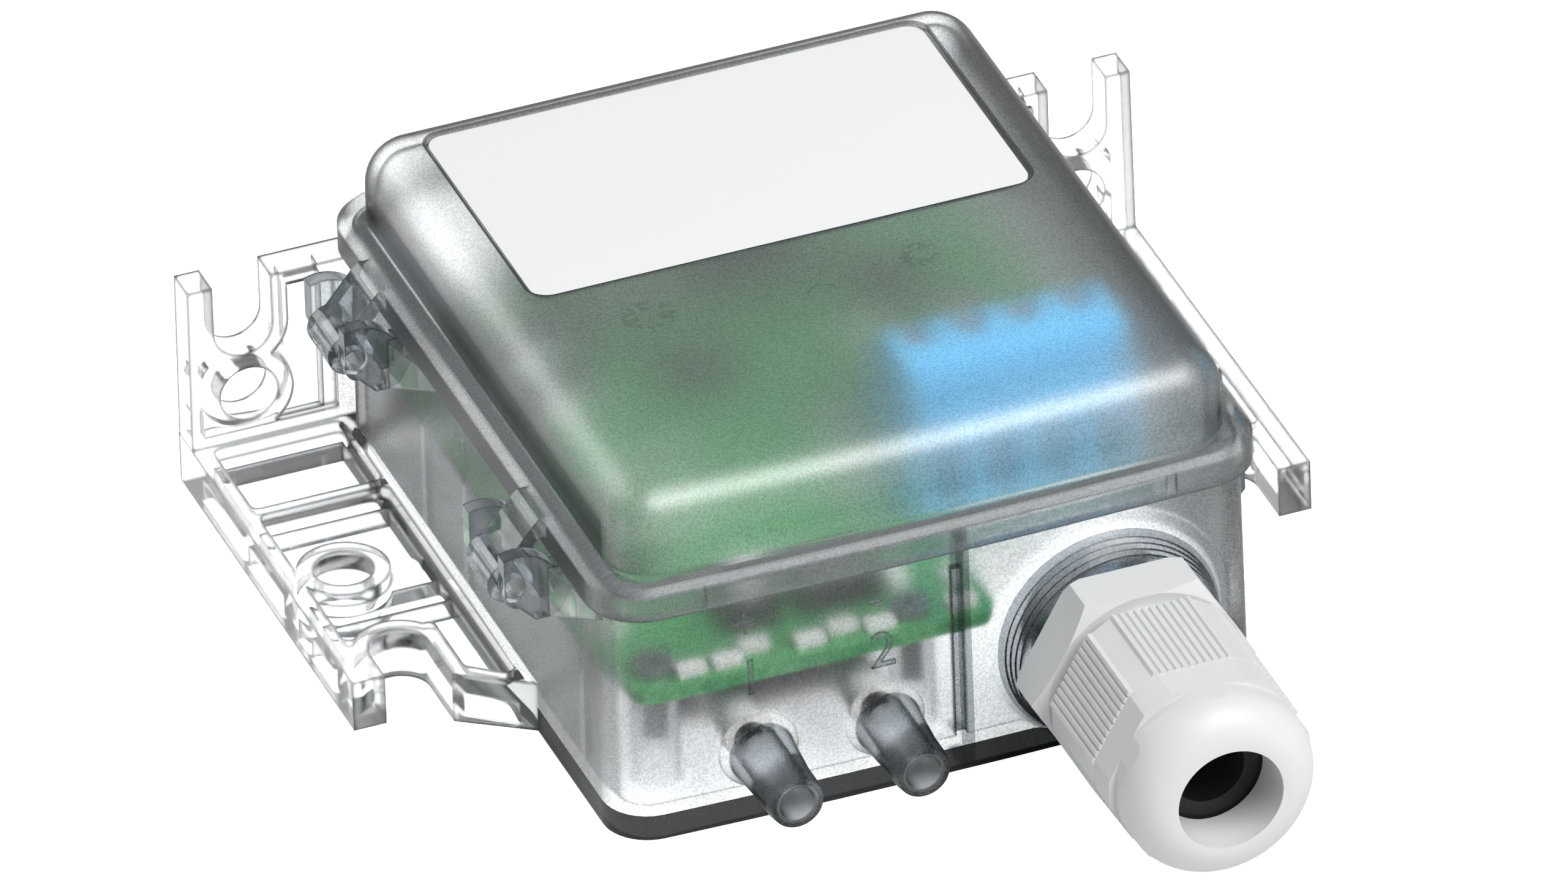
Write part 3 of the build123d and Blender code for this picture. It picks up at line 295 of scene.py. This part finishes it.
    def bump(self, height, height_mm, **inputs):
        """Relief from a height between 0 and 1."""
        inputs.update({"Height": height, "Distance": height_mm * MM})
        self.on_shader("Normal", self.node("Bump", inputs).outputs["Normal"])

    def finish(self, shader=None):
        self.join((shader or self.shader).outputs[0], self.out.inputs["Surface"])
        return self.owner

    def finish_clear(self):
        """Ends clear plastic, which lamps shine through."""
        open_way = self.node("BsdfTransparent", {"Color": rgba((LIGHT_THROUGH,) * 3)})
        shadow_ray = self.node("LightPath").outputs["Is Shadow Ray"]
        shaders = {1: self.shader.outputs[0], 2: open_way.outputs[0]}
        return self.finish(self.node("MixShader", {0: shadow_ray, **shaders}))


def new_look(name):
    return Look(bpy.data.materials.new(name))


def moulded(name, color, roughness=0.45, grain_mm=0.35, grain=0.012, change=0.06, **values):
    """Moulded plastic: small colour change, uneven gloss, fine grain."""
    look = new_look(name)
    look.principled(color, roughness, **values)
    darker = tuple(c * (1 - change) for c in color)
    look.on_shader("Base Color", look.blend(look.noise(CLOUD_MM), darker, color))
    fine = look.noise(grain_mm, detail=2.0)
    look.on_shader("Roughness", look.spread(fine, roughness - 0.06, roughness + 0.08))
    look.bump(fine, grain)
    return look.finish()


def metal(name, color, roughness=0.28, grain_mm=0.25, grain=0.004):
    """Plain metal with uneven gloss."""
    look = new_look(name)
    look.principled(color, roughness, Metallic=1.0)
    fine = look.noise(grain_mm, detail=4.0)
    look.on_shader("Roughness", look.spread(fine, roughness - 0.08, roughness + 0.12))
    look.bump(fine, grain)
    return look.finish()


def smoky(name, clear, dark, turn, outer, inner, body, coat, hidden, gloss, shade):
    """Smoked plastic: polished outside, frosted inside, and with painted shade where it turns away from the
    eye.

    clear is its tint and dark its painted shade, before and after the range turn. outer, inner and coat are
    roughnesses, and body is the share of light that goes through. hidden gives a mask of its
    inner faces, gloss the strength of its coat, and shade the painted shade on its darker places, and on the
    lid its marks.
    """
    look = new_look(name)
    look.principled(clear, outer, Transmission_Weight=body, IOR=1.12, Coat_IOR=1.75, Coat_Roughness=coat)
    look.on_shader("Coat Weight", gloss(look))
    normal = look.rounded(SMOKED_EDGE_MM, samples=4)
    inside = hidden(look)

    # Painted shade: the tint goes over to dark as the face turns away from the eye
    facing = look.node("LayerWeight", {"Normal": normal}).outputs["Facing"]
    tint_and_shade = look.blend(look.spread(facing, 0.0, 1.0, *turn), clear, dark)
    tint_and_shade = shade(look, tint_and_shade, inside)
    grain = look.spread(look.noise(SPECK_MM, detail=1.0, roughness=0.7), 0.0, 1.0, *SPECK_RANGE)
    specks = look.blend(look.either(inside, grain), SPECK_TINT, NO_TINT)
    look.on_shader("Base Color", look.multiply(1.0, tint_and_shade, specks))

    frost = look.noise(FROST_MM, detail=2.0, roughness=0.7)
    rough = look.math("ADD", look.mix_value(inside, outer, inner), look.spread(frost, *FROST_ROUGHNESS))
    look.on_shader("Roughness", look.math("MAXIMUM", rough, 0.0))
    relief = look.mix_value(inside, OUTER_RELIEF, INNER_RELIEF)
    look.bump(frost, FROST_RELIEF_MM, Strength=relief, Normal=normal)
    return look.finish_clear()


def clear_edges(name, clear, dark, rough, edge_mm):
    """The same plastic where it is polished and solid, with painted shade along its rounded edges."""
    look = new_look(name)
    look.principled(clear, rough, Transmission_Weight=1.0, IOR=1.18, Coat_Weight=1.0)
    normal = look.rounded(edge_mm, samples=6)
    face = look.node("NewGeometry")
    level = look.vector("DOT_PRODUCT", normal, face.outputs["Normal"])
    far_side = look.math("MULTIPLY", face.outputs["Backfacing"], FAR_SIDE_PLAIN)
    plain = look.either(look.spread(level, 0.0, 1.0, *EDGE_RANGE), far_side)
    # Painted shade: dark along the rounded edges, clear on the faces and on the far sides
    look.on_shader("Base Color", look.blend(plain, dark, clear))
    look.on_shader("Roughness", look.spread(look.noise(CLEAR_GRAIN_MM, detail=2.0), rough, rough * 2))
    look.on_shader("Normal", normal)
    return look.finish_clear()


def near_spigot(look, radius):
    """1 within the radius of either spigot's axis."""
    x, _, z = look.axes()
    beside = look.math("SUBTRACT", look.math("ABSOLUTE", look.math("SUBTRACT", x, SPIGOTS_X)), SPIGOT_ASIDE)
    return look.within(beside, z, (0.0, SPIGOT_Z), radius)


def housing_shade(look, tint_and_shade, inside):
    """Painted shade on solid parts: the floor's edge, the spigots, the gland's boss and the web beside them.
    """
    x, y, z = look.axes()
    low = look.both(look.less(z, FLOOR_EDGE_TOP), look.without(1.0, inside))
    tint_and_shade = look.multiply(low, tint_and_shade, FLOOR_EDGE_SHADE)
    spigot = look.without(near_spigot(look, SPIGOT_RADIUS), near_spigot(look, BORE_RADIUS))
    tint_and_shade = look.multiply(look.both(spigot, look.less(y, SPIGOT_ROOT_Y)), tint_and_shade, SPIGOT_SHADE)
    boss = look.both(look.within(x, z, GLAND, BOSS_RADIUS), look.less(y, BOSS_ROOT_Y))
    tint_and_shade = look.multiply(boss, tint_and_shade, BOSS_SHADE)
    web = look.both(look.near(x, WEB_X, WEB_HALF), look.less(y, WEB_BACK_Y))
    return look.multiply(web, tint_and_shade, WEB_SHADE)


def cover_shade_and_marks(look, tint_and_shade, inside):
    """Painted shade on the skirt and on the step round the label, and moulding marks: an arch and two round
    stamps.
    """
    x, y, z = look.axes()
    tint_and_shade = look.multiply(look.without(1.0, look.more(z, SKIRT_TOP)), tint_and_shade, SKIRT_SHADE)
    depth = look.depth_in(*LABEL_PLACE, LABEL_CORNER)
    step = look.both(look.more(depth, LABEL_STEP[0]), look.less(depth, LABEL_STEP[1]))
    tint_and_shade = look.multiply(look.both(step, look.more(z, LABEL_STEP_Z)), tint_and_shade, LABEL_STEP_SHADE)
    arch = look.both(look.ring(x, y, *ARCH), look.more(y, ARCH_BASE_Y))
    rings = look.math("ADD", look.ring(x, y, *LEFT_STAMP), look.ring(x, y, *RIGHT_STAMP))
    stamps = look.both(rings, look.more(look.noise(0.7, detail=0.0), 0.53))
    marks = look.both(look.either(arch, stamps), look.more(z, LID_TOP_Z))
    return look.multiply(marks, tint_and_shade, MARK_TINT)


def tub_gloss(look):
    """Less gloss on the tub's walls than on its floor's edge."""
    return look.spread(look.axes()[2], *TUB_GLOSS)


def dome_gloss(look):
    """Less gloss on the lid's walls than on its skirt, its top and the rounded edges."""
    height = look.axes()[2]
    return look.either(look.spread(height, *LID_TOP_GLOSS), look.spread(height, *LID_SKIRT_GLOSS))


def inside_tub(look):
    """1 on the faces that the tub has inside, and in the spigots' bores."""
    bore = look.both(near_spigot(look, BORE_RADIUS), look.less(look.axes()[1], FRONT_Y))
    return look.either(look.more(look.depth_in(*TUB_INSIDE, INSIDE_CORNER), TUB_INSIDE_DEPTH), bore)


def inside_dome(look):
    """1 on the faces that the lid has inside."""
    return look.more(look.depth_in(*LID_INSIDE, INSIDE_CORNER), LID_INSIDE_DEPTH)


def board_green():
    """Solder resist over copper tracks."""
    green = (0.045, 0.23, 0.08)
    over_copper = (0.08, 0.30, 0.11)
    between_tracks = 2.4 * MM
    look = new_look("solder_resist")
    look.principled(green, 0.32)
    inputs = {"Vector": look.place, "Scale": 1.0 / between_tracks}
    tracks = look.node("TexVoronoi", inputs, feature="DISTANCE_TO_EDGE", distance="CHEBYCHEV")
    line = look.spread(tracks.outputs["Distance"], 1.0, 0.0, 0.05, 0.09)
    look.on_shader("Base Color", look.blend(line, green, over_copper))
    look.bump(line, 0.02)
    return look.finish()


def dress(material, *names):
    """Gives CAD nodes their material."""
    for name in names:
        mesh = nodes[name].data
        mesh.materials.clear()
        mesh.materials.append(material)


def more_finish(name, material, where):
    """Gives another material to the faces whose middle, in mm, and normal are where it says."""
    mesh = nodes[name].data
    mesh.materials.append(material)
    index = len(mesh.materials) - 1
    for polygon in mesh.polygons:
        if where(polygon.center / MM, polygon.normal):
            polygon.material_index = index


def on_flange(at, way):
    return abs(at.x) > TUB_SIDE_X


def on_flange_end(at, way):
    return on_flange(at, way) and at.y < FLANGE_END_Y and way.y < TO_FRONT


def on_hinge(at, way):
    return HINGE_X < at.x < -TUB_SIDE_X and HINGE_Z[0] < at.z < HINGE_Z[1] and at.y < HINGE_BACK_Y


def on_lid_hook(at, way):
    return abs(at.x) > LID_SIDE_X


def soften(name, angle=32.0):
    """Smooth shading over curved faces, with the real edges kept sharp."""
    mesh = nodes[name].data
    mesh.polygons.foreach_set("use_smooth", [True] * len(mesh.polygons))
    mesh.set_sharp_from_angle(angle=math.radians(angle))


def dress_shells():
    """The clear tub and lid, with their flanges, hinges and hooks."""
    tub = smoky(
        "smoked_housing",
        clear=(0.92, 0.93, 0.94), dark=(0.04, 0.045, 0.05), turn=(0.42, 0.78),
        outer=0.25, inner=0.70, body=1.0, coat=0.3,
        hidden=inside_tub, gloss=tub_gloss, shade=housing_shade,
    )
    lid = smoky(
        "smoked_cover",
        clear=(0.94, 0.955, 0.96), dark=(0.02, 0.022, 0.024), turn=(0.42, 0.70),
        outer=0.30, inner=0.86, body=0.975, coat=0.50,
        hidden=inside_dome, gloss=dome_gloss, shade=cover_shade_and_marks,
    )
    # Painted shade along the rounded edges of the flanges and hooks
    flange = clear_edges("clear_flange", (0.97, 0.98, 0.985), (0.02, 0.022, 0.025), rough=0.06, edge_mm=0.95)
    # Painted shade: the flanges' front end faces are painted almost black
    end = clear_edges("flange_end", (0.008, 0.009, 0.010), (0.002, 0.002, 0.003), rough=0.15, edge_mm=1.2)
    hook = clear_edges("smoked_hook", (0.58, 0.61, 0.63), (0.03, 0.033, 0.036), rough=0.05, edge_mm=0.45)
    dress(tub, "base_housing")
    dress(lid, "cover")
    more_finish("base_housing", flange, on_flange)
    more_finish("base_housing", end, on_flange_end)
    more_finish("base_housing", hook, on_hinge)
    more_finish("cover", hook, on_lid_hook)


def dress_all():
    dress_shells()
    dress(
        moulded("label_white", (0.88, 0.88, 0.88), 0.5, grain_mm=0.2, grain=0.003, change=0.01),
        "label",
    )
    dress(moulded("soft_black", (0.012, 0.012, 0.013), 0.6), "gland_washer", "gland_seal")
    dress(moulded("silicone", (0.30, 0.32, 0.33), 0.5), "cover_gasket")
    dress(board_green(), "circuit_board")
    dress(metal("dull_zinc", (0.30, 0.33, 0.32), 0.5), "board_screws")
    dress(metal("zinc_steel", (0.72, 0.73, 0.75)), *(f"terminal_screw_{i}" for i in range(1, 5)))
    dress(
        moulded("chip_black", (0.02, 0.02, 0.022), 0.5),
        "pressure_sensor", "microcontroller", "signal_amplifier", "voltage_regulator",
        "range_switch", "zero_switch", "service_header", "offset_trimmer",
    )
    dress(moulded("soft_tube", (0.70, 0.70, 0.68), 0.55), "high_side_hose", "low_side_hose")
    under_surface = {
        "Subsurface_Weight": 0.5,
        "Subsurface_Radius": (0.5, 0.8, 1.0),
        "Subsurface_Scale": 3 * MM,
    }
    dress(moulded("terminal_blue", (0.12, 0.56, 0.98), 0.4, **under_surface), "terminal_block")
    dress(metal("tinned_brass", (0.74, 0.68, 0.55)), "wire_clamps", "trimmer_rotor")
    dress(metal("bare_aluminium", (0.80, 0.80, 0.82)), "filter_capacitors")
    dress(moulded("pale_ceramic", (0.62, 0.62, 0.60), 0.5), "small_parts")
    dress(
        moulded("knob_white", (0.82, 0.82, 0.80), 0.4),
        "status_led", "zero_button", *(f"range_slider_{i}" for i in range(1, 4)),
    )
    dress(
        moulded("gland_grey", (0.70, 0.71, 0.71), 0.42, grain_mm=0.5, grain=0.01, change=0.03),
        "gland_body", "gland_nut",
    )
    for name in nodes:
        soften(name)


def make_marks():
    """Plain raised signs and numbers on the front wall, over the two spigots."""
    # The signs get painted shade along their rounded edges
    material = clear_edges("raised_mark", (0.60, 0.63, 0.65), (0.02, 0.022, 0.025), rough=0.06, edge_mm=0.25)
    wall = nodes["base_housing"]
    for name, text, x, z, high in MARKS:
        letter = bpy.data.curves.new(name, "FONT")
        letter.body = text
        letter.size = high / CAPITAL_SHARE * MM
        letter.extrude = MARK_RISE * MM
        letter.align_x = "CENTER"
        letter.align_y = "CENTER"
        letter.materials.append(material)
        hit, point, _, _ = wall.ray_cast(Vector((x, BEFORE_WALL_Y, z)) * MM, Vector((0.0, 1.0, 0.0)))
        sign = bpy.data.objects.new(name, letter)
        sign.location = point if hit else Vector((x, FRONT_Y, z)) * MM
        sign.rotation_euler = (math.radians(90.0), 0.0, 0.0)
        bpy.context.scene.collection.objects.link(sign)
        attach(sign, "housing")


def make_light():
    for name, place, size, power in LAMPS:
        data = bpy.data.lights.new(name, "AREA")
        data.shape = "RECTANGLE"
        data.size, data.size_y = size
        data.energy = power
        lamp = bpy.data.objects.new(name, data)
        lamp.location = place
        aim = Vector(LAMPS_AIM) - Vector(place)
        lamp.rotation_mode = "QUATERNION"
        lamp.rotation_quaternion = aim.to_track_quat("-Z", "Y")
        bpy.context.scene.collection.objects.link(lamp)


def seen_bright(look):
    """1 for rays from the camera or on through clear plastic, and 0 for light on the object."""
    path = look.node("LightPath").outputs
    to_eye = look.either(path["Is Camera Ray"], path["Is Transmission Ray"])
    bounces = look.math("ADD", path["Diffuse Depth"], path["Glossy Depth"])
    return look.both(to_eye, look.less(bounces, 0.5))


def make_world():
    """Even room light. The view past the object is white, and dimmer where clear plastic turns it up."""
    world = bpy.data.worlds.new("studio")
    bpy.context.scene.world = world
    look = Look(world, "OutputWorld")
    room = look.node("Background", {"Color": rgba(ROOM_COLOR), "Strength": ROOM_LEVEL})
    height = look.node("SeparateXYZ", {0: look.coordinates.outputs["Generated"]}).outputs[2]
    dimmer = look.spread(height, 1.0, DIM_LEVEL, *DIM_RISE)
    camera_ray = look.node("LightPath").outputs["Is Camera Ray"]
    white = look.node("Background", {"Strength": look.either(camera_ray, dimmer)})
    shaders = {1: room.outputs[0], 2: white.outputs[0]}
    look.finish(look.node("MixShader", {0: seen_bright(look), **shaders}))


def make_floor():
    """Pale floor that keeps the object's shadow and shows as white."""
    mesh = bpy.data.meshes.new("floor")
    corners = ((-1, -1), (1, -1), (1, 1), (-1, 1))
    mesh.from_pydata([(x * FLOOR_HALF, y * FLOOR_HALF, FLOOR_Z) for x, y in corners], [], [(0, 1, 2, 3)])
    floor = bpy.data.objects.new("floor", mesh)
    bpy.context.scene.collection.objects.link(floor)
    look = new_look("floor_white")
    diffuse = look.node("BsdfDiffuse", {"Color": rgba(FLOOR_COLOR)})
    glow = look.node("Emission", {"Strength": seen_bright(look)})
    mesh.materials.append(look.finish(look.node("AddShader", {0: diffuse.outputs[0], 1: glow.outputs[0]})))


make_camera()
dress_all()
make_marks()
make_light()
make_world()
make_floor()
bpy.context.scene.view_settings.view_transform = "Standard"
